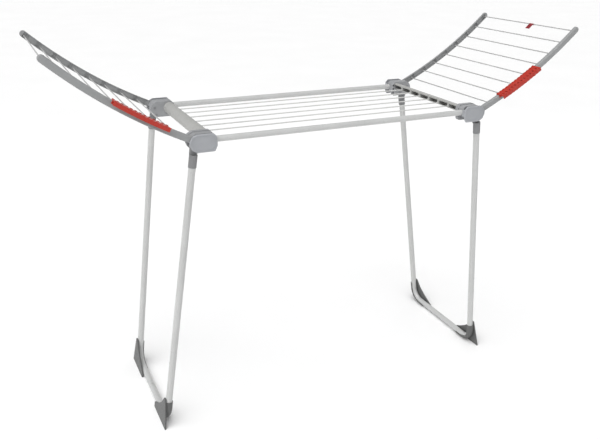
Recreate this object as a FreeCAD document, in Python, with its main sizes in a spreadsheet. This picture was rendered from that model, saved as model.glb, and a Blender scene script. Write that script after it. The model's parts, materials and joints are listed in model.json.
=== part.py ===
import FreeCAD, Part
import math
import os
import Sketcher

# Winged clothes drying rack, open for use.  Millimetres and degrees.
#
# Frame: origin on the floor under the middle of the rack, +X along the two rails, +Y to the back, +Z up.
# Most pieces are drawn in a side view of one end: X is the distance outboard from the middle of the rack,
# Y the height above the rails' centre lines, and Z the distance from the middle plane between the rails.
# The four corners are turned copies of that side view, and hand = -1 makes the mirror-image ones.

doc = FreeCAD.newDocument("drying_rack")

DIMENSIONS = (
    ("panel_height", 987.5, "rail centre lines above the floor"),
    ("rail_across", 237.5, "rail centre line from the middle plane"),
    ("rail_radius", 9.5, "outer radius of a rail tube"),
    ("rail_wall", 0.8, "wall of a rail tube"),
    ("rail_end", 478, "rail end from the middle of the rack"),
    ("wire_radius", 2.0, "radius of every drying wire"),
    ("panel_wires", 6, "wires between the rails"),
    ("panel_pitch", 60, "spacing of the panel wires"),
    ("panel_wire_height", 3, "panel wires above the rail centre lines"),
    ("panel_wire_end", 456, "panel wire end from the middle of the rack"),
    ("bar_middle", 460, "centre of the crossbar's round back"),
    ("bar_height", -2, "height of that centre"),
    ("bar_radius", 20.5, "outer radius of the crossbar"),
    ("bar_wall", 2.5, "wall of the crossbar"),
    ("bar_inner", 452, "inner edge of the crossbar"),
    ("bar_slot", 50, "length of one pocket in the crossbar"),
    ("cheek_in", 204, "inner face of a housing's cheek"),
    ("cheek_out", 220.5, "outer face of a housing's cheek"),
    ("shell_out", 245.5, "joint face between housing and cap"),
    ("cap_out", 262, "outer face of a cap"),
    ("cap_wall", 4.5, "wall of a cap"),
    ("cap_rim", 1.2, "height of the rim round a cap's face"),
    ("house_inboard", 442, "inboard end of a housing"),
    ("house_outboard", 527, "outboard end of a housing"),
    ("house_top", 24, "top of a housing"),
    ("house_bottom", -31, "bottom of a housing"),
    ("wing_pivot_out", 507, "wing pivot from the middle of the rack"),
    ("wing_pivot_up", 8, "wing pivot above the rail centre lines"),
    ("leg_pivot_out", 502.5, "leg pivot from the middle of the rack"),
    ("leg_pivot_up", -18, "leg pivot above the rail centre lines"),
    ("pin_radius", 4, "radius of every pivot pin"),
    ("pin_play", 0.08, "running clearance round a pivot pin"),
    ("pin_cover", 2, "cap wall left over the end of a pin"),
    ("arm_radius", 1500, "radius of the curve through a wing's wires"),
    ("arm_start", 24.2, "slope of that curve at the pivot"),
    ("arm_pitch", 58.7, "spacing of the wing wires along the curve"),
    ("wing_wires", 8, "wires of one wing"),
    ("arm_above", 13, "arm edge above the wires"),
    ("arm_below", 8, "arm edge below the wires"),
    ("arm_in", 246.3, "open face of an arm"),
    ("arm_out", 256.7, "closed face of an arm"),
    ("arm_wall", 2.0, "wall of an arm"),
    ("arm_hub", 11, "radius of an arm's hub"),
    ("clip_start", 93, "holder's lower end along the curve"),
    ("clip_length", 175, "length of the holder"),
    ("clip_out", 282, "outer face of the holder"),
    ("clip_top", 4.5, "top of the holder above its arm"),
    ("clip_drop", 9, "bottom of the holder's rim below the arm's top"),
    ("clip_teeth", 12, "holes in the holder"),
    ("leg_splay", 7.4, "outward lean of an open leg frame"),
    ("leg_length", 962, "leg pivot to the cross tube's centre line"),
    ("leg_offset", 7, "tube centre line outboard of the pivot"),
    ("leg_across", 244, "leg centre line from the middle plane, at the pivot"),
    ("leg_taper", 2.55, "lean of each leg towards the middle plane"),
    ("leg_radius", 11, "outer radius of a leg tube"),
    ("leg_wall", 0.8, "wall of a leg tube"),
    ("leg_bend", 48, "radius of the bends, on the centre line"),
    ("socket_top", 22, "top of the round socket below the pivot"),
    ("socket_bottom", 62, "bottom of the round socket below the pivot"),
    ("socket_wall", 1.6, "wall of the round socket"),
    ("hub_radius", 19, "radius of a leg's hub disc"),
    ("hub_in", 231, "inner face of a leg's hub disc"),
    ("hub_out", 245, "outer face of a leg's hub disc"),
    ("foot_wall", 2.6, "wall of a foot's cup"),
    ("foot_plate", 5, "thickness of a foot's plate"),
    ("foot_rise", 84, "top of a foot above the cross tube"),
    ("foot_corner", 237, "sharp corner of a foot from the middle plane"),
    ("foot_toe", 94, "inner end of a foot from the middle plane"),
    ("tag_across", 31, "middle of the label from the middle plane"),
    ("tag_width", 21, "width of the label"),
    ("tag_length", 25, "length of the label"),
)

sheet = doc.addObject("Spreadsheet::Sheet", "Dims")
for row, (alias, number, note) in enumerate(DIMENSIONS, start=1):
    sheet.set(f"A{row}", alias)
    sheet.set(f"B{row}", str(number))
    sheet.set(f"C{row}", note)
    sheet.setAlias(f"B{row}", alias)
doc.recompute()

Vector = FreeCAD.Vector
X_AXIS = Vector(1, 0, 0)
Y_AXIS = Vector(0, 1, 0)
Z_AXIS = Vector(0, 0, 1)
ALIASES = {alias for alias, number, note in DIMENSIONS}
pieces = []


def bound(formula):
    """A formula in the sheet's aliases, as an expression that any property accepts."""
    words = formula.split(" ")
    return " ".join("Dims." + word if word in ALIASES else word for word in words)


def value(formula):
    return float(sheet.evalExpression(bound(formula)))


# ---------------------------------------------------------------- drawing helpers

def new_body(label):
    body = doc.addObject("PartDesign::Body", label)
    body.Label = label
    pieces.append(body)
    return body


def new_sketch(body, plane, lift="0"):
    sketch = body.newObject("Sketcher::SketchObject", "Sketch")
    support = next(item for item in body.Origin.OriginFeatures if item.Role == plane)
    sketch.AttachmentSupport = (support, [""])
    sketch.MapMode = "FlatFace"
    sketch.setExpression("AttachmentOffset.Base.z", bound(lift))
    return sketch


def pin_point(sketch, line, end, x, y):
    """Ties one end of a line or the centre of a circle to two formulas."""
    for kind, formula in (("DistanceX", x), ("DistanceY", y)):
        index = sketch.addConstraint(Sketcher.Constraint(kind, -1, 1, line, end, value(formula)))
        sketch.setExpression(f"Constraints[{index}]", bound(formula))


def draw_polygon(sketch, points):
    corners = [Vector(value(x), value(y), 0) for x, y in points]
    first = sketch.GeometryCount
    for index, corner in enumerate(corners):
        sketch.addGeometry(Part.LineSegment(corner, corners[(index + 1) % len(corners)]), False)
    for index, (x, y) in enumerate(points):
        following = first + (index + 1) % len(points)
        sketch.addConstraint(Sketcher.Constraint("Coincident", first + index, 2, following, 1))
        pin_point(sketch, first + index, 1, x, y)


def draw_circle(sketch, x, y, radius):
    middle = Vector(value(x), value(y), 0)
    circle = sketch.addGeometry(Part.Circle(middle, Z_AXIS, value(radius)), False)
    pin_point(sketch, circle, 3, x, y)
    index = sketch.addConstraint(Sketcher.Constraint("Radius", circle, value(radius)))
    sketch.setExpression(f"Constraints[{index}]", bound(radius))


def extrude(body, kind, sketch, length, reverse=False, midplane=False):
    """A Pad or a Pocket of a sketch.  A pad grows along the sketch's normal, a pocket cuts against it."""
    before = body.Shape.Volume if body.Tip else 0
    feature = body.newObject("PartDesign::" + kind, kind)
    feature.Profile = sketch
    feature.setExpression("Length", bound(length))
    feature.Midplane = midplane
    feature.Reversed = reverse
    sketch.Visibility = False
    doc.recompute()
    change = feature.Shape.Volume - before
    if (kind == "Pad") != (change > 0) or abs(change) < 1:
        raise RuntimeError(f"{body.Label}: {feature.Name} changes the volume by {change:.1f}")
    return feature


def layer(body, kind, shape, low, high, hand=1):
    """A pad or pocket of a side-view outline between two distances from the middle plane."""
    sketch = new_sketch(body, "XY_Plane", f"( {low} ) * {hand}")
    if isinstance(shape, list):
        draw_polygon(sketch, shape)
    else:
        draw_circle(sketch, *shape)
    reverse = hand < 0 if kind == "Pad" else hand > 0
    return extrude(body, kind, sketch, f"( {high} ) - ( {low} )", reverse=reverse)


def repeat_along(body, feature, axis, step, count):
    pattern = body.newObject("PartDesign::LinearPattern", "Repeat")
    pattern.Originals = [feature]
    direction = next(item for item in body.Origin.OriginFeatures if item.Role == axis)
    pattern.Direction = (direction, [""])
    pattern.setExpression("Length", bound(f"( {step} ) * ( {count} - 1 )"))
    pattern.setExpression("Occurrences", bound(count))
    body.Tip = pattern
    doc.recompute()


def rectangle(left, right, low, high):
    return [(left, low), (right, low), (right, high), (left, high)]


def round_edges(body, radius, choose):
    """Rounds the edges of the body's last feature that choose(edge) accepts."""
    base = body.Tip
    names = [f"Edge{index}" for index, edge in enumerate(base.Shape.Edges, start=1) if choose(edge)]
    if not names:
        raise RuntimeError(f"{body.Label}: no edge to round")
    fillet = body.newObject("PartDesign::Fillet", "Round")
    fillet.Base = (base, names)
    fillet.Radius = radius
    doc.recompute()
    if not fillet.isValid() or fillet.Shape.isNull():
        raise RuntimeError(f"{body.Label}: fillet of {radius} failed")


def runs_across(edge):
    """True for a straight edge parallel to the side view's third axis."""
    start, end = edge.Vertexes[0].Point, edge.Vertexes[-1].Point
    return abs(end.z - start.z) > 1 and math.hypot(end.x - start.x, end.y - start.y) < 1e-3


def lies_at(distance):
    """A test for edges that lie in the plane at a distance from the middle plane."""
    return lambda edge: all(abs(vertex.Point.z - distance) < 1e-3 for vertex in edge.Vertexes)


# ---------------------------------------------------------------- places

SIDES = ("left", "right")
ENDS = ("front", "back")
STAND = FreeCAD.Rotation(X_AXIS, 90)


def panel_place(side):
    """Stands the side view up at one end of the rack."""
    turn = FreeCAD.Rotation(Z_AXIS, 180 if side == "left" else 0)
    return FreeCAD.Placement(Vector(0, 0, value("panel_height")), turn * STAND)


def leg_place(side):
    """The side view with its origin at the leg pivot and its Y axis along the leaning leg frame."""
    pivot = Vector(value("leg_pivot_out"), value("leg_pivot_up"), 0)
    lean = FreeCAD.Rotation(Z_AXIS, value("leg_splay"))
    return panel_place(side) * FreeCAD.Placement(pivot, lean)


def hand_of(side, end):
    """The turned side view looks at the front of the right side and at the back of the left side."""
    return 1 if (side, end) in (("right", "front"), ("left", "back")) else -1


# ---------------------------------------------------------------- panel

def make_rail(end):
    body = new_body("rail_" + end)
    sketch = new_sketch(body, "YZ_Plane")
    across = "rail_across" if end == "back" else "0 - rail_across"
    draw_circle(sketch, across, "0", "rail_radius")
    draw_circle(sketch, across, "0", "rail_radius - rail_wall")
    extrude(body, "Pad", sketch, "2 * rail_end", midplane=True)
    body.Placement = FreeCAD.Placement(Vector(0, 0, value("panel_height")), FreeCAD.Rotation())


def make_wire(label, half_length, x, y, z, direction):
    """A straight wire centred on a point of the rack's own frame."""
    wire = doc.addObject("Part::Cylinder", label)
    wire.Label = label
    wire.setExpression("Radius", bound("wire_radius"))
    wire.setExpression("Height", bound(f"2 * ( {half_length} )"))
    middle = Vector(x, y, z)
    start = middle - direction * value(half_length)
    wire.Placement = FreeCAD.Placement(start, FreeCAD.Rotation(Z_AXIS, direction))
    pieces.append(wire)


def make_panel_wires():
    count = int(value("panel_wires"))
    for index in range(count):
        across = (index - (count - 1) / 2) * value("panel_pitch")
        height = value("panel_height + panel_wire_height")
        make_wire(f"panel_wire_{index + 1}", "panel_wire_end", 0, across, height, X_AXIS)


def make_crossbar(side):
    """A round-backed bar with a row of pockets, open to the panel, between the ribs that hold the wires."""
    body = new_body("crossbar_" + side)
    sketch = new_sketch(body, "XY_Plane")
    draw_circle(sketch, "bar_middle", "bar_height", "bar_radius")
    extrude(body, "Pad", sketch, "2 * cheek_in", midplane=True)
    below = [("bar_inner - 20", "-40"), ("bar_inner - 20", "40"), ("bar_inner", "40"), ("bar_inner", "0"),
             ("bar_middle + 18", "bar_height - 10"), ("bar_middle + 18", "-40")]
    sketch = new_sketch(body, "XY_Plane")
    draw_polygon(sketch, below)
    extrude(body, "Pocket", sketch, "2 * cheek_in", midplane=True)
    pocket_shape = [("bar_inner - 2", "1.4"), ("bar_inner - 2", "12.4"), ("bar_middle + 2", "13.5"),
                    ("bar_middle + 13", "6"), ("bar_middle + 16", "-5"), ("bar_middle + 8", "-4.2")]
    row_start = "0 - panel_pitch * panel_wires / 2 - bar_slot / 2"
    pocket = layer(body, "Pocket", pocket_shape, row_start, f"{row_start} + bar_slot")
    repeat_along(body, pocket, "Z_Axis", "panel_pitch", "panel_wires + 1")
    sketch = new_sketch(body, "YZ_Plane", "bar_inner - 5")
    first_wire = "0 - panel_pitch * ( panel_wires - 1 ) / 2"
    draw_circle(sketch, "panel_wire_height", first_wire, "wire_radius + 0.05")
    bore = extrude(body, "Pocket", sketch, "panel_wire_end - bar_inner + 6", reverse=True)
    repeat_along(body, bore, "Z_Axis", "panel_pitch", "panel_wires")
    body.Placement = panel_place(side)


# ---------------------------------------------------------------- corner housings

HOUSE_OUTLINE = [
    ("house_inboard + 8", "house_bottom"), ("house_outboard - 22", "house_bottom"),
    ("house_outboard - 7", "house_bottom + 9"), ("house_outboard", "house_bottom + 24"),
    ("house_outboard", "house_top - 21"), ("house_outboard - 8", "house_top - 7"),
    ("house_outboard - 22", "house_top"), ("house_inboard + 12", "house_top"),
    ("house_inboard + 2", "house_top - 10"), ("house_inboard", "house_bottom + 18"),
]
PIVOTS = (("wing_pivot_out", "wing_pivot_up"), ("leg_pivot_out", "leg_pivot_up"))
SCREWS = (("house_outboard - 16", "house_top - 22"), ("house_outboard - 20", "house_bottom + 8"))


def make_housing(side, end):
    """Inner half of a corner: a cheek slotted at its inboard end, and the block that holds the rail."""
    hand = hand_of(side, end)
    body = new_body(f"housing_{side}_{end}")
    layer(body, "Pad", HOUSE_OUTLINE, "cheek_in", "cheek_out", hand)
    round_edges(body, 5, runs_across)
    round_edges(body, 2, lies_at(hand * value("cheek_in")))
    block = [("house_inboard + 1", "0 - rail_radius - 1.5"), ("rail_end + 3", "0 - rail_radius - 1.5"),
             ("rail_end + 3", "4"), ("house_outboard - 3", "4"), ("house_outboard - 10", "house_top - 9"),
             ("house_outboard - 23", "house_top - 2"), ("house_inboard + 13", "house_top - 2"),
             ("house_inboard + 4", "house_top - 11")]
    layer(body, "Pad", block, "cheek_out", "shell_out", hand)
    bore_for_rail(body, hand)
    for low in ("house_bottom + 9", "house_bottom + 23", "house_bottom + 37"):
        slot = rectangle("house_inboard + 3", "bar_inner - 1", low, f"{low} + 7")
        layer(body, "Pocket", slot, "cheek_in", "cheek_in + 11", hand)
    for out, up in PIVOTS:
        layer(body, "Pocket", (out, up, "pin_radius"), "cheek_in + 3", "shell_out", hand)
    for out, up in SCREWS:
        layer(body, "Pocket", (out, up, "1.5"), "cheek_in", "cheek_in + 3", hand)
    body.Placement = panel_place(side)


def bore_for_rail(body, hand):
    """The rail's blind bore, from a corner's inboard end."""
    sketch = new_sketch(body, "YZ_Plane", "house_inboard - 2")
    draw_circle(sketch, "0", f"rail_across * {hand}", "rail_radius + 0.1")
    extrude(body, "Pocket", sketch, "rail_end - house_inboard + 2", reverse=True)


CAP_FACE = [
    ("house_inboard + 14", "house_bottom + 6"), ("house_outboard - 24", "house_bottom + 6"),
    ("house_outboard - 12", "house_bottom + 13"), ("house_outboard - 6", "house_bottom + 25"),
    ("house_outboard - 6", "house_top - 23"), ("house_outboard - 12", "house_top - 11"),
    ("house_outboard - 24", "house_top - 6"), ("house_inboard + 14", "house_top - 6"),
    ("house_inboard + 8", "house_top - 12"), ("house_inboard + 6", "house_bottom + 18"),
]


def make_cap(side, end):
    """Outer half of a corner: a rimmed plate over the arm and the leg's hub, on a short inboard wall."""
    hand = hand_of(side, end)
    body = new_body(f"cap_{side}_{end}")
    layer(body, "Pad", HOUSE_OUTLINE, "shell_out", "cap_out", hand)
    round_edges(body, 6, runs_across)
    round_edges(body, 2.4, lies_at(hand * value("cap_out")))
    layer(body, "Pocket", CAP_FACE, "cap_out - cap_rim", "cap_out", hand)
    inside = [("house_inboard + 5", "house_bottom - 5"), ("house_outboard + 5", "house_bottom - 5"),
              ("house_outboard + 5", "house_top + 5"), ("house_inboard - 5", "house_top + 5"),
              ("house_inboard - 5", "12"), ("house_inboard + 5", "12")]
    layer(body, "Pocket", inside, "shell_out", "cap_out - cap_wall", hand)
    under = rectangle("house_inboard - 5", "house_inboard + 5", "house_bottom - 5", "0 - rail_radius - 1.5")
    layer(body, "Pocket", under, "shell_out", "cap_out - cap_wall", hand)
    bore_for_rail(body, hand)
    boss = ("leg_pivot_out", "leg_pivot_up", "pin_radius + 2.5")
    layer(body, "Pad", boss, "hub_out + 0.6", "cap_out - cap_wall + 0.2", hand)
    for (out, up), low in zip(PIVOTS, ("cap_out - cap_wall", "hub_out + 0.6")):
        layer(body, "Pocket", (out, up, "pin_radius"), low, "cap_out - pin_cover", hand)
    body.Placement = panel_place(side)


def make_pins(label, out, up):
    """Four pivot pins, each from a housing's cheek to its cap."""
    pins = []
    for side in SIDES:
        for end in ENDS:
            pin = doc.addObject("Part::Cylinder", "Pin")
            pin.setExpression("Radius", bound("pin_radius"))
            pin.setExpression("Height", bound("cap_out - pin_cover - cheek_in - 3"))
            hand = hand_of(side, end)
            low = value("cheek_in + 3") if hand > 0 else -value("cap_out - pin_cover")
            pin.Placement = panel_place(side) * FreeCAD.Placement(
                Vector(value(out), value(up), low), FreeCAD.Rotation())
            pins.append(pin)
    group = doc.addObject("Part::Compound", label)
    group.Label = label
    group.Links = pins
    pieces.append(group)


def make_housing_screws():
    """Two pan-head screws in the cheek of each housing, with a crossed recess."""
    screws = []
    for side in SIDES:
        for end in ENDS:
            hand = hand_of(side, end)
            for out, up in SCREWS:
                head_low = value("cheek_in - 1.6")
                head = Part.makeCylinder(3.6, 1.6, Vector(0, 0, head_low))
                head = head.makeFillet(0.8, [head.Edges[2]])
                shank = Part.makeCylinder(1.5, 3, Vector(0, 0, value("cheek_in")))
                recess = Part.makeBox(4, 0.8, 1, Vector(-2, -0.4, head_low))
                crossed = recess.fuse(Part.makeBox(0.8, 4, 1, Vector(-0.4, -2, head_low)))
                screw = head.fuse(shank).cut(crossed).removeSplitter()
                if hand < 0:
                    screw = screw.mirror(Vector(0, 0, 0), Z_AXIS)
                middle = Vector(value(out), value(up), 0)
                screw.Placement = panel_place(side) * FreeCAD.Placement(middle, FreeCAD.Rotation())
                screws.append(screw)
    group = doc.addObject("Part::Feature", "housing_screws")
    group.Label = "housing_screws"
    group.Shape = Part.makeCompound(screws)
    pieces.append(group)


# ---------------------------------------------------------------- wings

def primitive(kind, sizes, place):
    solid = doc.addObject("Part::" + kind, kind)
    for name, formula in sizes.items():
        solid.setExpression(name, bound(formula))
    solid.Placement = place
    return solid


def cut(base, tools):
    """The base without the tools, as one boolean."""
    tool = tools[0]
    if len(tools) > 1:
        tool = doc.addObject("Part::MultiFuse", "Tools")
        tool.Shapes = tools
    result = doc.addObject("Part::Cut", "Cut")
    result.Base = base
    result.Tool = tool
    result.Refine = True
    return result


def join(solids):
    result = doc.addObject("Part::MultiFuse", "Join")
    result.Shapes = solids
    result.Refine = True
    return result


def arc_angle(distance):
    """Slope of the wires' curve at a distance along it from the pivot."""
    return value("arm_start") + math.degrees(value(distance) / value("arm_radius"))


def arc_centre():
    slope = math.radians(value("arm_start"))
    radius = value("arm_radius")
    return Vector(value("wing_pivot_out") - radius * math.sin(slope), radius * math.cos(slope), 0)


def arc_point(distance, below="0"):
    """A point of the side view on the wires' curve, or a formula's value below it."""
    slope = math.radians(arc_angle(distance))
    radius = value("arm_radius") + value(below)
    return arc_centre() + Vector(radius * math.sin(slope), -radius * math.cos(slope), 0)


def strip(above, below, low, high, start, length, hand):
    """A curved bar that follows the wires' curve, from above it to below it, between two distances
    from the middle plane."""
    depth = f"( {high} ) - ( {low} )"
    floor = value(low) if hand > 0 else -value(high)
    place = FreeCAD.Placement(arc_centre() + Z_AXIS * floor, FreeCAD.Rotation(Z_AXIS, arc_angle(start) - 90))
    span = f"( {length} ) / arm_radius * 180 / pi"
    size = {"Height": depth, "Angle": span}
    outer = primitive("Cylinder", {"Radius": f"arm_radius + {below}", **size}, place)
    inner = primitive("Cylinder", {"Radius": f"arm_radius - ( {above} )", **size}, place)
    return cut(outer, [inner])


def disc(middle, radius, low, high, hand):
    floor = value(low) if hand > 0 else -value(high)
    place = FreeCAD.Placement(middle + Z_AXIS * floor, FreeCAD.Rotation())
    return primitive("Cylinder", {"Radius": radius, "Height": f"( {high} ) - ( {low} )"}, place)


def wire_distance(number):
    return f"arm_pitch * {number}"


def make_arm(side, end):
    """A curved channel, open towards the middle of the rack, with a deep pocket beside each wire's seat."""
    hand = hand_of(side, end)
    count = int(value("wing_wires"))
    tip = f"{wire_distance(count)} + 4"
    bar = strip("arm_above", "arm_below", "arm_in", "arm_out", "0 - 4", f"{tip} + 4", hand)
    middle = "( arm_below - arm_above ) / 2"
    nose = disc(arc_point(tip, middle), "( arm_above + arm_below ) / 2", "arm_in", "arm_out", hand)
    blank = join([bar, nose])
    doc.recompute()
    outer_face = hand * value("arm_out")
    rounded = doc.addObject("Part::Fillet", "Rounded")
    rounded.Base = blank
    rounded.Edges = [(index, 4.0, 4.0) for index, edge in enumerate(blank.Shape.Edges, start=1)
                     if lies_at(outer_face)(edge) and edge.Length > 25]
    pivot = Vector(value("wing_pivot_out"), value("wing_pivot_up"), 0)
    hub = disc(pivot, "arm_hub", "arm_in", "arm_out - 0.5", hand)
    whole = join([rounded, hub])
    edge_above, edge_below = "arm_above - arm_wall", "arm_below - arm_wall"
    cutters = [disc(pivot, "pin_radius + pin_play", "arm_in - 1", "arm_out + 1", hand),
               strip(edge_above, edge_below, "arm_in - 1", "arm_in + 5", "26", f"{tip} - 26", hand)]
    for number in range(1, count + 1):
        at = wire_distance(number)
        cutters.append(disc(arc_point(at), "wire_radius + 0.05", "arm_in", "arm_out - 3", hand))
        pocket_start = f"{at} - 15" if number == count else f"{at} + 4"
        deep = ("arm_in + 4", "arm_out - arm_wall")
        cutters.append(strip(edge_above, edge_below, *deep, pocket_start, "11", hand))
    arm = cut(whole, cutters)
    finish(arm, f"arm_{side}_{end}", panel_place(side))


def finish(result, label, place):
    """Names a boolean result and puts it in its place."""
    result.Label = label
    result.Placement = place
    pieces.append(result)


def make_wing_wires(side):
    sign = -1 if side == "left" else 1
    for number in range(1, int(value("wing_wires")) + 1):
        point = arc_point(wire_distance(number))
        make_wire(f"wing_wire_{side}_{number}", "arm_out - 3", sign * point.x, 0,
                  value("panel_height") + point.y, Y_AXIS)


def make_holder(side):
    """The clip-on hanger holder of a front arm: a saddle over the arm that carries a ledge with a row
    of holes, and notched edges."""
    hand = hand_of(side, "front")
    whole = ("clip_start", "clip_length", hand)
    top = "( arm_above + clip_top )"
    ledge = strip(f"{top} - 1.4", "0 - arm_above - 0.2", "arm_in - 2.4", "clip_out", *whole)
    lip = strip(f"{top} - 1.4", "0 - 3.2", "arm_in - 2.4", "arm_in - 0.2", *whole)
    skirt = strip(f"{top} - 1.4", "clip_drop - arm_above", "arm_out + 0.2", "arm_out + 2.4", *whole)
    rim = strip(top, "clip_drop - arm_above", "clip_out - 2.4", "clip_out", *whole)
    kerb = strip(top, "0 - arm_above - 1", "arm_in - 2.4", "arm_in + 1", *whole)
    body = join([ledge, lip, skirt, rim, kerb])
    count = int(value("clip_teeth"))
    step = value("clip_length") / (count + 0.5)
    cutters = []
    for index in range(count):
        start = f"{value('clip_start') + (index + 0.5) * step}"
        notch = (start, f"{step * 0.5}", hand)
        hole = (start, f"{step * 0.4}", hand)
        cutters.append(strip(f"{top} + 1", "0", "clip_out - 18", "clip_out - 8", *hole))
        cutters.append(strip(f"{top} + 1", f"0 - {top} + 1.2", "arm_in - 3", "arm_in + 2", *notch))
        cutters.append(strip(f"{top} + 1", f"0 - {top} + 1.2", "clip_out - 3", "clip_out + 1", *notch))
        cutters.append(strip(f"{top} + 1", "9", "clip_out - 0.8", "clip_out + 1", *notch))
    finish(cut(body, cutters), f"holder_{side}", panel_place(side))


def make_label():
    """A blank label folded over the last wire of the right wing."""
    body = new_body("label_right")
    strip_sketch = new_sketch(body, "XY_Plane", "tag_across - tag_width / 2")
    draw_polygon(strip_sketch, rectangle("0 - tag_length", "0", "wire_radius + 0.1", "wire_radius + 1"))
    extrude(body, "Pad", strip_sketch, "tag_width")
    width = ("tag_across - tag_width / 2", "tag_across + tag_width / 2")
    layer(body, "Pad", ("0", "0", "wire_radius + 1"), *width)
    layer(body, "Pocket", ("0", "0", "wire_radius + 0.05"), *width)
    last = wire_distance("wing_wires")
    lean = FreeCAD.Rotation(Z_AXIS, arc_angle(last))
    body.Placement = panel_place("right") * FreeCAD.Placement(arc_point(last), lean)


# ---------------------------------------------------------------- leg frames

TAPER = "tan( leg_taper )"


def leg_axis(drop):
    """Distance of a leg's centre line from the middle plane, at a drop below the pivot."""
    return f"( leg_across - {TAPER} * ( {drop} ) )"


def bent_path(body, corners, level, tapered):
    """A path sketched in the plane of the leg frame: straight runs joined by the frame's bends.
    corners are formulas for its points, level the cross tube's height, and tapered the leaning runs."""
    sketch = new_sketch(body, "YZ_Plane", "leg_offset")
    points = [Vector(value(x), value(y), 0) for x, y in corners]
    bend = value("leg_bend")
    start = points[0]
    bends = []
    for before, corner, after in zip(points, points[1:], points[2:]):
        into, out = (corner - before).normalize(), (after - corner).normalize()
        turn = into.getAngle(out)
        reach = bend * math.tan(turn / 2)
        run_end, run_start = corner - into * reach, corner + out * reach
        centre = corner + (out - into).normalize() * (bend / math.cos(turn / 2))
        sketch.addGeometry(Part.LineSegment(start, run_end), False)
        anticlockwise = into.cross(out).z > 0
        ends = (run_end, run_start) if anticlockwise else (run_start, run_end)
        angles = [math.atan2(point.y - centre.y, point.x - centre.x) for point in ends]
        sketch.addGeometry(Part.ArcOfCircle(Part.Circle(centre, Z_AXIS, bend), *angles), False)
        bends.append((1, 2) if anticlockwise else (2, 1))
        start = run_start
    sketch.addGeometry(Part.LineSegment(start, points[-1]), False)
    for index, (near, far) in enumerate(bends):
        run, arc = 2 * index, 2 * index + 1
        sketch.addConstraint(Sketcher.Constraint("Tangent", run, 2, arc, near))
        sketch.addConstraint(Sketcher.Constraint("Tangent", arc, far, run + 2, 1))
        radius = sketch.addConstraint(Sketcher.Constraint("Radius", arc, bend))
        sketch.setExpression(f"Constraints[{radius}]", bound("leg_bend"))
    pin_point(sketch, 0, 1, *corners[0])
    pin_point(sketch, 2 * len(bends), 2, *corners[-1])
    sketch.addConstraint(Sketcher.Constraint("Vertical", 2))
    if len(bends) == 2:
        height = sketch.addConstraint(Sketcher.Constraint("DistanceX", -1, 1, 2, 1, value(level)))
        sketch.setExpression(f"Constraints[{height}]", bound(level))
    for run in tapered:
        rise = sketch.Geometry[run].EndPoint - sketch.Geometry[run].StartPoint
        sketch.addConstraint(Sketcher.Constraint("Angle", run, math.atan2(rise.y, rise.x)))
    return sketch


def sweep(body, kind, profile, path):
    pipe = body.newObject("PartDesign::" + kind, "Pipe")
    pipe.Profile = profile
    pipe.Spine = path
    profile.Visibility = False
    path.Visibility = False
    doc.recompute()


def level_sketch(body, drop):
    """A sketch across the leg, at a drop below the pivot: X outward from the pivot, Y the side view's Z."""
    return new_sketch(body, "XZ_Plane", drop)


def make_leg_tube(side):
    """One bent tube: two legs that lean towards each other and the cross tube between their feet."""
    body = new_body("leg_tube_" + side)
    top = "socket_top + 4"
    first = (f"0 - ( {top} )", f"0 - {leg_axis(top)}")
    corner = ("0 - leg_length", f"0 - {leg_axis('leg_length')}")
    far_corner = ("0 - leg_length", leg_axis("leg_length"))
    last = (f"0 - ( {top} )", leg_axis(top))
    path = bent_path(body, [first, corner, far_corner, last], "0 - leg_length", (0, 4))
    profile = level_sketch(body, top)
    draw_circle(profile, "leg_offset", f"0 - {leg_axis(top)}", "leg_radius")
    draw_circle(profile, "leg_offset", f"0 - {leg_axis(top)}", "leg_radius - leg_wall")
    sweep(body, "AdditivePipe", profile, path)
    hole = level_sketch(body, "leg_length - leg_radius - 2")
    draw_circle(hole, "leg_offset", "0", "2.5")
    extrude(body, "Pocket", hole, "leg_wall + 4", reverse=True)
    body.Placement = leg_place(side)


def make_leg_socket(side, end):
    """Plastic socket on top of a leg: a hub disc on the pivot pin, a tongue and the round sleeve."""
    hand = hand_of(side, end)
    body = new_body(f"leg_socket_{side}_{end}")
    layer(body, "Pad", ("0", "0", "hub_radius"), "hub_in", "hub_out", hand)
    round_edges(body, 1.2, lambda edge: edge.Length > 60)
    tongue_sides = ("leg_offset - leg_radius + 1", "leg_offset + leg_radius - 1")
    tongue = rectangle(*tongue_sides, "0 - socket_top - 4", "0 - 8")
    layer(body, "Pad", tongue, "hub_in", "hub_out", hand)
    sleeve = level_sketch(body, "socket_top")
    middle = f"{leg_axis('socket_top')} * {hand}"
    draw_circle(sleeve, "leg_offset", middle, "leg_radius + socket_wall")
    slant_pad(body, sleeve, "socket_bottom - socket_top", hand)
    round_edges(body, 1.0, lambda edge: edge.Length > 60 and edge.BoundBox.YMax < -value("socket_top") - 20)
    bore = level_sketch(body, "socket_top + 3")
    draw_circle(bore, "leg_offset", f"{leg_axis('socket_top + 3')} * {hand}", "leg_radius + 0.1")
    slant_pocket(body, bore, "socket_bottom - socket_top", hand)
    layer(body, "Pocket", ("0", "0", "pin_radius + pin_play"), "hub_in", "hub_out", hand)
    body.Placement = leg_place(side)


def slant_pad(body, sketch, length, hand):
    pad = body.newObject("PartDesign::Pad", "Sleeve")
    pad.Profile = sketch
    pad.setExpression("Length", bound(length))
    pad.UseCustomVector = True
    pad.Direction = Vector(0, -1, -hand * math.tan(math.radians(value("leg_taper"))))
    pad.AlongSketchNormal = True
    doc.recompute()


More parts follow.
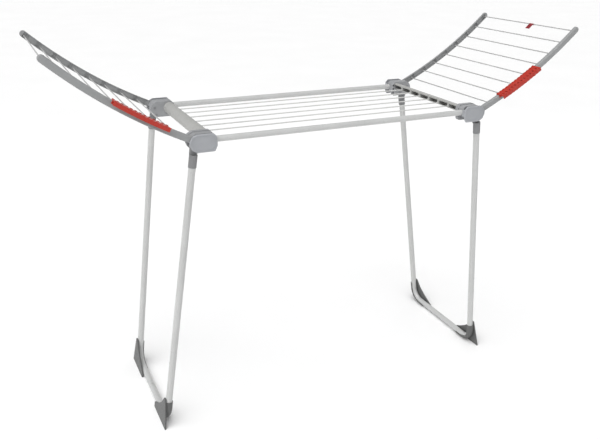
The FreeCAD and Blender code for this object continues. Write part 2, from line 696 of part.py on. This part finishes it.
def slant_pocket(body, sketch, length, hand):
    before = body.Shape.Volume
    pocket = body.newObject("PartDesign::Pocket", "Bore")
    pocket.Profile = sketch
    pocket.setExpression("Length", bound(length))
    pocket.UseCustomVector = True
    pocket.Direction = Vector(0, -1, -hand * math.tan(math.radians(value("leg_taper"))))
    pocket.AlongSketchNormal = True
    doc.recompute()
    if abs(pocket.Shape.Volume - before) < 1:
        pocket.Reversed = True
        doc.recompute()
    if pocket.Shape.Volume > before - 1:
        raise RuntimeError(f"{body.Label}: the bore cuts nothing")


def make_foot(side, end):
    """Corner foot: a cup round the outside of the bend and a three-cornered plate on its outboard face."""
    hand = hand_of(side, end)
    body = new_body(f"foot_{side}_{end}")
    top = "leg_length - foot_rise + 12"
    plate = new_sketch(body, "YZ_Plane", "leg_offset + leg_radius + 0.1")
    outline = [("0 - leg_length + foot_rise", "foot_corner - 26"), ("0 - leg_length - 26", "foot_corner"),
               ("0 - leg_length - 26", "foot_toe"), ("0 - leg_length + 1", "foot_toe"),
               ("0 - leg_length + 12", "foot_toe + 22"), ("0 - leg_length + 31", "foot_toe + 53"),
               ("0 - leg_length + 55", "foot_toe + 83"), ("0 - leg_length + foot_rise", "foot_toe + 104")]
    draw_polygon(plate, [(up, f"( {across} ) * {hand}") for up, across in outline])
    extrude(body, "Pad", plate, "foot_plate")
    first = (f"0 - ( {top} )", f"{leg_axis(top)} * {hand}")
    corner = ("0 - leg_length", f"{leg_axis('leg_length')} * {hand}")
    last = ("0 - leg_length", f"( foot_toe + 30 ) * {hand}")
    path = bent_path(body, [first, corner, last], "0 - leg_length", (0,))
    outside = level_sketch(body, top)
    draw_circle(outside, "leg_offset", f"{leg_axis(top)} * {hand}", "leg_radius + foot_wall")
    sweep(body, "AdditivePipe", outside, path)
    reach = new_sketch(body, "YZ_Plane", "leg_offset - leg_radius - foot_wall - 1")
    inner = [("0 - ( leg_length - foot_rise ) + 20", "foot_toe - 20"),
             ("0 - ( leg_length - foot_rise ) + 20", f"{leg_axis('leg_length')} + 2"),
             ("0 - leg_length + leg_bend + 4", f"{leg_axis('leg_length')}"),
             ("0 - leg_length + 22", f"{leg_axis('leg_length')} - 7"),
             ("0 - leg_length + 7", f"{leg_axis('leg_length')} - 22"),
             ("0 - leg_length - 1", f"{leg_axis('leg_length')} - leg_bend"),
             ("0 - leg_length - 1", "foot_toe - 20")]
    draw_polygon(reach, [(up, f"( {across} ) * {hand}") for up, across in inner])
    extrude(body, "Pocket", reach, "2 * leg_radius + foot_wall + 1.1", reverse=True)
    tunnel_top = "leg_length - foot_rise - 10"
    tunnel_first = (f"0 - ( {tunnel_top} )", f"{leg_axis(tunnel_top)} * {hand}")
    tunnel_last = ("0 - leg_length", f"( foot_toe - 20 ) * {hand}")
    path = bent_path(body, [tunnel_first, corner, tunnel_last], "0 - leg_length", (0,))
    tunnel = level_sketch(body, tunnel_top)
    draw_circle(tunnel, "leg_offset", f"{leg_axis(tunnel_top)} * {hand}", "leg_radius + 0.1")
    sweep(body, "SubtractivePipe", tunnel, path)
    cut_sole(body)
    body.Placement = leg_place(side)


def cut_sole(body):
    """Trims a foot level with the floor."""
    drop = "( panel_height + leg_pivot_up )"
    near = f"0 - ( {drop} - 60 * sin( leg_splay ) ) / cos( leg_splay )"
    far = f"0 - ( {drop} + 60 * sin( leg_splay ) ) / cos( leg_splay )"
    below = [("0 - 60", near), ("60", far), ("60", "0 - leg_length - 80"), ("0 - 60", "0 - leg_length - 80")]
    sketch = new_sketch(body, "XY_Plane")
    draw_polygon(sketch, below)
    extrude(body, "Pocket", sketch, "2 * cap_out", midplane=True)


def make_rivets(side):
    """A rivet through each socket and leg tube, on the faces that look towards the middle plane."""
    rivets = []
    for end in ENDS:
        hand = hand_of(side, end)
        drop = "socket_top + 24"
        head_low = value(leg_axis(drop)) - value("leg_radius + socket_wall") - 0.9
        shank = Part.makeCylinder(1.9, 4.5, Vector(0, 0, head_low + 0.3))
        head = Part.makeCylinder(3.4, 1.3, Vector(0, 0, head_low))
        head = head.makeFillet(0.7, [head.Edges[2]])
        rivet = head.fuse(shank).removeSplitter()
        if hand < 0:
            rivet = rivet.mirror(Vector(0, 0, 0), Z_AXIS)
        middle = Vector(value("leg_offset"), -value(drop), 0)
        rivet.Placement = leg_place(side) * FreeCAD.Placement(middle, FreeCAD.Rotation())
        rivets.append(rivet)
    group = doc.addObject("Part::Feature", "leg_rivets_" + side)
    group.Label = "leg_rivets_" + side
    group.Shape = Part.makeCompound(rivets)
    pieces.append(group)


# ---------------------------------------------------------------- the rack

for end in reversed(ENDS):
    make_rail(end)
make_panel_wires()
make_pins("wing_pins", "wing_pivot_out", "wing_pivot_up")
make_pins("leg_pins", "leg_pivot_out", "leg_pivot_up")
make_housing_screws()
for side in SIDES:
    make_crossbar(side)
    make_leg_tube(side)
    make_wing_wires(side)
    make_holder(side)
    make_rivets(side)
    for end in ENDS:
        make_housing(side, end)
        make_cap(side, end)
        make_arm(side, end)
        make_leg_socket(side, end)
        make_foot(side, end)
make_label()
doc.recompute()

faults = [item.Label for item in doc.Objects if "Invalid" in item.State or "Error" in item.State]
for piece in pieces:
    if piece.Shape.isNull() or not piece.Shape.isValid():
        faults.append(piece.Label)
if faults:
    raise RuntimeError("failed: " + ", ".join(faults))

os.makedirs("parts", exist_ok=True)
for piece in pieces:
    piece.Shape.exportStep(f"parts/{piece.Label}.step")
print(len(pieces), "pieces written")
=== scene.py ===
"""Looks of the clothes drying rack: its finishes, a plain studio and the camera.  Metres."""
import json
import math

import bpy
from mathutils import Matrix, Vector

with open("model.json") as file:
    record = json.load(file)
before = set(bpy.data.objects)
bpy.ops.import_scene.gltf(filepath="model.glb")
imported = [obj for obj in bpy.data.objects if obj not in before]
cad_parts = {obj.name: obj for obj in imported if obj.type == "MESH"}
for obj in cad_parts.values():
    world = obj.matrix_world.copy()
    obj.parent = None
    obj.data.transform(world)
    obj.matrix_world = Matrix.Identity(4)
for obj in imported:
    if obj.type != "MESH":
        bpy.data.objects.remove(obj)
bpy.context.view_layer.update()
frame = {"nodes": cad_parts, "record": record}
nodes = frame["nodes"]


# ---------------------------------------------------------------- node helpers

class Tree:
    """A short way to add linked nodes to a material or a world."""

    def __init__(self, owner, shader="Principled BSDF"):
        owner.use_nodes = True
        self.tree = owner.node_tree
        self.shader = self.tree.nodes[shader]

    def add(self, kind, **settings):
        node = self.tree.nodes.new(kind)
        for name, setting in settings.items():
            if name in node.inputs:
                node.inputs[name].default_value = setting
            else:
                setattr(node, name, setting)
        return node

    def link(self, source, target):
        self.tree.links.new(source, target)

    def noise(self, scale, detail=3.0, roughness=0.5, stretch=(1, 1, 1)):
        """Noise in the object's own coordinates: scale counts features per metre."""
        place = self.add("ShaderNodeTexCoord")
        mapping = self.add("ShaderNodeMapping", Scale=stretch)
        noise = self.add("ShaderNodeTexNoise", Scale=scale, Detail=detail, Roughness=roughness)
        self.link(place.outputs["Object"], mapping.inputs["Vector"])
        self.link(mapping.outputs["Vector"], noise.inputs["Vector"])
        return noise.outputs["Fac"]

    def between(self, value, low, high, start=0.3, end=0.7):
        """A value remapped from start..end to low..high, and held there beyond them."""
        node = self.add("ShaderNodeMapRange")
        node.inputs["From Min"].default_value = start
        node.inputs["From Max"].default_value = end
        node.inputs["To Min"].default_value = low
        node.inputs["To Max"].default_value = high
        self.link(value, node.inputs["Value"])
        return node.outputs["Result"]

    def mix(self, factor, first, second):
        """Two colours mixed; each is a colour or a socket."""
        node = self.add("ShaderNodeMix", data_type="RGBA")
        self.link(factor, node.inputs["Factor"])
        for name, colour in (("A", first), ("B", second)):
            socket = [item for item in node.inputs if item.name == name and item.type == "RGBA"][0]
            if isinstance(colour, bpy.types.NodeSocket):
                self.link(colour, socket)
            else:
                socket.default_value = (*colour, 1)
        return [item for item in node.outputs if item.type == "RGBA"][0]

    def bump(self, height, strength, depth, normal=None):
        """The normal of a surface with relief; depth is in metres."""
        node = self.add("ShaderNodeBump", Strength=strength, Distance=depth)
        self.link(height, node.inputs["Height"])
        if normal is not None:
            self.link(normal, node.inputs["Normal"])
        return node.outputs["Normal"]

    def rounded(self, radius):
        """A normal that rounds the model's sharp edges."""
        return self.add("ShaderNodeBevel", samples=4, Radius=radius).outputs["Normal"]

    def set(self, **values):
        for name, value in values.items():
            self.shader.inputs[name.replace("_", " ")].default_value = value

    def use(self, name, socket):
        self.link(socket, self.shader.inputs[name])


def shade(colour, factor):
    return tuple(part * factor for part in colour)


# ---------------------------------------------------------------- finishes

def powder_coat(name, colour, peel=700):
    """Gloss enamel on steel: fine orange peel, faint unevenness of tone and a few duller patches."""
    material = bpy.data.materials.new(name)
    tree = Tree(material)
    tone = tree.between(tree.noise(scale=14, detail=5), low=0, high=1)
    dust = tree.noise(scale=90, detail=8, roughness=0.7)
    dust = tree.between(dust, low=0, high=1, start=0.56, end=0.72)
    base = tree.mix(tone, colour, shade(colour, 0.93))
    tree.use("Base Color", tree.mix(dust, base, shade(colour, 0.86)))
    tree.use("Roughness", tree.between(tree.noise(scale=60, detail=6), low=0.26, high=0.42))
    tree.use("Normal", tree.bump(tree.noise(scale=peel, detail=2), strength=0.25, depth=0.0002))
    tree.set(IOR=1.5, Coat_Weight=0.25, Coat_Roughness=0.15)
    return material


def moulded(name, colour, rough=0.5, grain=1500):
    """Injection-moulded plastic: spark-eroded grain, soft mottling, faint flow marks and pale specks."""
    material = bpy.data.materials.new(name)
    tree = Tree(material)
    mottle = tree.between(tree.noise(scale=25, detail=6, roughness=0.6), low=0, high=1)
    flow = tree.between(tree.noise(scale=8, detail=3, stretch=(1, 6, 3)), low=0, high=0.5)
    base = tree.mix(mottle, colour, shade(colour, 0.90))
    base = tree.mix(flow, base, shade(colour, 1.07))
    speck = tree.noise(scale=420, detail=4, roughness=0.8)
    speck = tree.between(speck, low=0, high=1, start=0.62, end=0.74)
    tree.use("Base Color", tree.mix(speck, base, shade(colour, 1.18)))
    wear = tree.noise(scale=140, detail=5)
    tree.use("Roughness", tree.between(wear, low=rough - 0.07, high=rough + 0.09))
    texture = tree.noise(scale=grain, detail=4, roughness=0.65)
    edge = tree.rounded(radius=0.0007)
    tree.use("Normal", tree.bump(texture, strength=0.35, depth=0.00018, normal=edge))
    tree.set(IOR=1.49)
    return material


def film(name, colour):
    """Printed film with nothing on it: a smooth coat over a slightly wavy base."""
    material = bpy.data.materials.new(name)
    tree = Tree(material)
    tone = tree.between(tree.noise(scale=120, detail=4), low=0, high=1)
    tree.use("Base Color", tree.mix(tone, colour, shade(colour, 0.8)))
    tree.use("Roughness", tree.between(tree.noise(scale=200, detail=3), low=0.3, high=0.45))
    tree.use("Normal", tree.bump(tree.noise(scale=160, detail=2), strength=0.3, depth=0.0004))
    tree.set(Coat_Weight=0.4, Coat_Roughness=0.2)
    return material


def steel(name, colour, rough):
    """Drawn or plated steel with fine lines."""
    material = bpy.data.materials.new(name)
    tree = Tree(material)
    lines = tree.noise(scale=600, detail=6, stretch=(1, 1, 12))
    streak = tree.between(lines, low=0, high=1)
    tree.use("Base Color", tree.mix(streak, colour, shade(colour, 0.75)))
    tree.use("Roughness", tree.between(lines, low=rough - 0.08, high=rough + 0.12))
    edge = tree.rounded(radius=0.0004)
    tree.use("Normal", tree.bump(lines, strength=0.2, depth=0.0001, normal=edge))
    tree.set(Metallic=1.0)
    return material


# Each finish of the record: how it is made, its colour and what else sets it apart.
FINISHES = {
    "white_tube": (powder_coat, (0.51, 0.515, 0.51), {}),
    "white_wire": (powder_coat, (0.56, 0.56, 0.55), {"peel": 1400}),
    # grey_wire is the white wire paint made darker: painted shade on the wing wires
    "grey_wire": (powder_coat, (0.40, 0.40, 0.40), {"peel": 1400}),
    "crossbar_plastic": (moulded, (0.38, 0.38, 0.368), {}),
    "housing_plastic": (moulded, (0.29, 0.295, 0.305), {}),
    "cap_plastic": (moulded, (0.335, 0.345, 0.365), {"rough": 0.42}),
    "arm_plastic": (moulded, (0.275, 0.28, 0.283), {}),
    "socket_plastic": (moulded, (0.205, 0.207, 0.212), {}),
    "foot_plastic": (moulded, (0.105, 0.107, 0.106), {"rough": 0.48}),
    "holder_red": (moulded, (0.43, 0.022, 0.009), {"rough": 0.36, "grain": 1100}),
    "label_red": (film, (0.25, 0.008, 0.015), {}),
    "pin_steel": (steel, (0.56, 0.57, 0.58), {"rough": 0.3}),
    "screw_steel": (steel, (0.30, 0.30, 0.31), {"rough": 0.35}),
}


def apply_finishes():
    made = {name: make(name, colour, **look) for name, (make, colour, look) in FINISHES.items()}
    for part in frame["record"]["subparts"]:
        mesh = nodes[part["node"]].data
        mesh.materials.clear()
        mesh.materials.append(made[part["material_slot"]])


# ---------------------------------------------------------------- studio

FLOOR_HALF = 60          # half the floor's side
FLOOR_DROP = 0.0002      # the floor lies this far under the feet, so that no two faces share a plane

# The sky's strength over the sine of the height above the horizon.
HORIZON_END, HORIZON_STRENGTH = 0.08, 0.92
DOME_START, DOME_STRENGTH = 0.30, 0.30

# The camera: turned right of +Y, tipped down and rolled, in degrees.
CAMERA_YAW, CAMERA_PITCH, CAMERA_ROLL = 25.29, 22.15, 0.86
CAMERA_PLACE = (-1.0673, -2.1521, 1.5485)
CAMERA_LENS, CAMERA_SENSOR = 42.06, 36      # millimetres


def make_floor():
    mesh = bpy.data.meshes.new("floor")
    signs = ((-1, -1), (1, -1), (1, 1), (-1, 1))
    mesh.from_pydata([(x * FLOOR_HALF, y * FLOOR_HALF, 0) for x, y in signs], [], [(0, 1, 2, 3)])
    floor = bpy.data.objects.new("floor", mesh)
    bpy.context.scene.collection.objects.link(floor)
    floor.location.z = -FLOOR_DROP
    material = bpy.data.materials.new("studio_floor")
    tree = Tree(material)
    tone = tree.between(tree.noise(scale=1.5, detail=3), low=0, high=1)
    tree.use("Base Color", tree.mix(tone, (0.93, 0.93, 0.93), (0.91, 0.91, 0.91)))
    tree.set(Roughness=0.85, Specular_IOR_Level=0.2)
    mesh.materials.append(material)


def make_world():
    """A studio sky: pale at the horizon, so that it meets the floor, and dimmer overhead."""
    world = bpy.data.worlds.new("studio")
    tree = Tree(world, "Background")
    place = tree.add("ShaderNodeTexCoord")
    split = tree.add("ShaderNodeSeparateXYZ")
    tree.link(place.outputs["Generated"], split.inputs["Vector"])
    strength = tree.between(split.outputs["Z"], low=HORIZON_STRENGTH, high=DOME_STRENGTH,
                            start=HORIZON_END, end=DOME_START)
    tree.use("Strength", strength)
    tree.set(Color=(1.0, 1.0, 1.0, 1))
    bpy.context.scene.world = world


def add_light(name, kind, energy):
    data = bpy.data.lights.new(name, kind)
    data.energy = energy
    light = bpy.data.objects.new(name, data)
    bpy.context.scene.collection.objects.link(light)
    return light


def add_area(name, place, target, size, power):
    """A round soft light at a place, turned to a target."""
    light = add_light(name, "AREA", power)
    light.data.shape = "DISK"
    light.data.size = size
    light.location = place
    light.rotation_euler = (Vector(target) - Vector(place)).to_track_quat("-Z", "Y").to_euler()


def make_lights():
    overhead = add_light("overhead", "SUN", energy=2.75)
    overhead.data.angle = math.radians(70)
    overhead.rotation_euler = (math.radians(16), math.radians(-24), 0)
    add_area("key", place=(-2.2, -3.4, 3.2), target=(0, 0, 0.8), size=2.4, power=14)
    add_area("rim", place=(2.8, 2.6, 2.6), target=(0, 0, 0.9), size=1.8, power=10)


def make_camera():
    data = bpy.data.cameras.new("camera")
    data.sensor_width = CAMERA_SENSOR
    data.lens = CAMERA_LENS
    camera = bpy.data.objects.new("camera", data)
    aim = Matrix.Rotation(math.radians(-CAMERA_YAW), 4, "Z")
    aim @= Matrix.Rotation(math.radians(90 - CAMERA_PITCH), 4, "X")
    aim @= Matrix.Rotation(math.radians(CAMERA_ROLL), 4, "Z")
    camera.matrix_world = Matrix.Translation(CAMERA_PLACE) @ aim
    bpy.context.scene.collection.objects.link(camera)
    bpy.context.scene.camera = camera


apply_finishes()
make_floor()
make_world()
make_lights()
make_camera()
bpy.context.scene.view_settings.view_transform = "Standard"
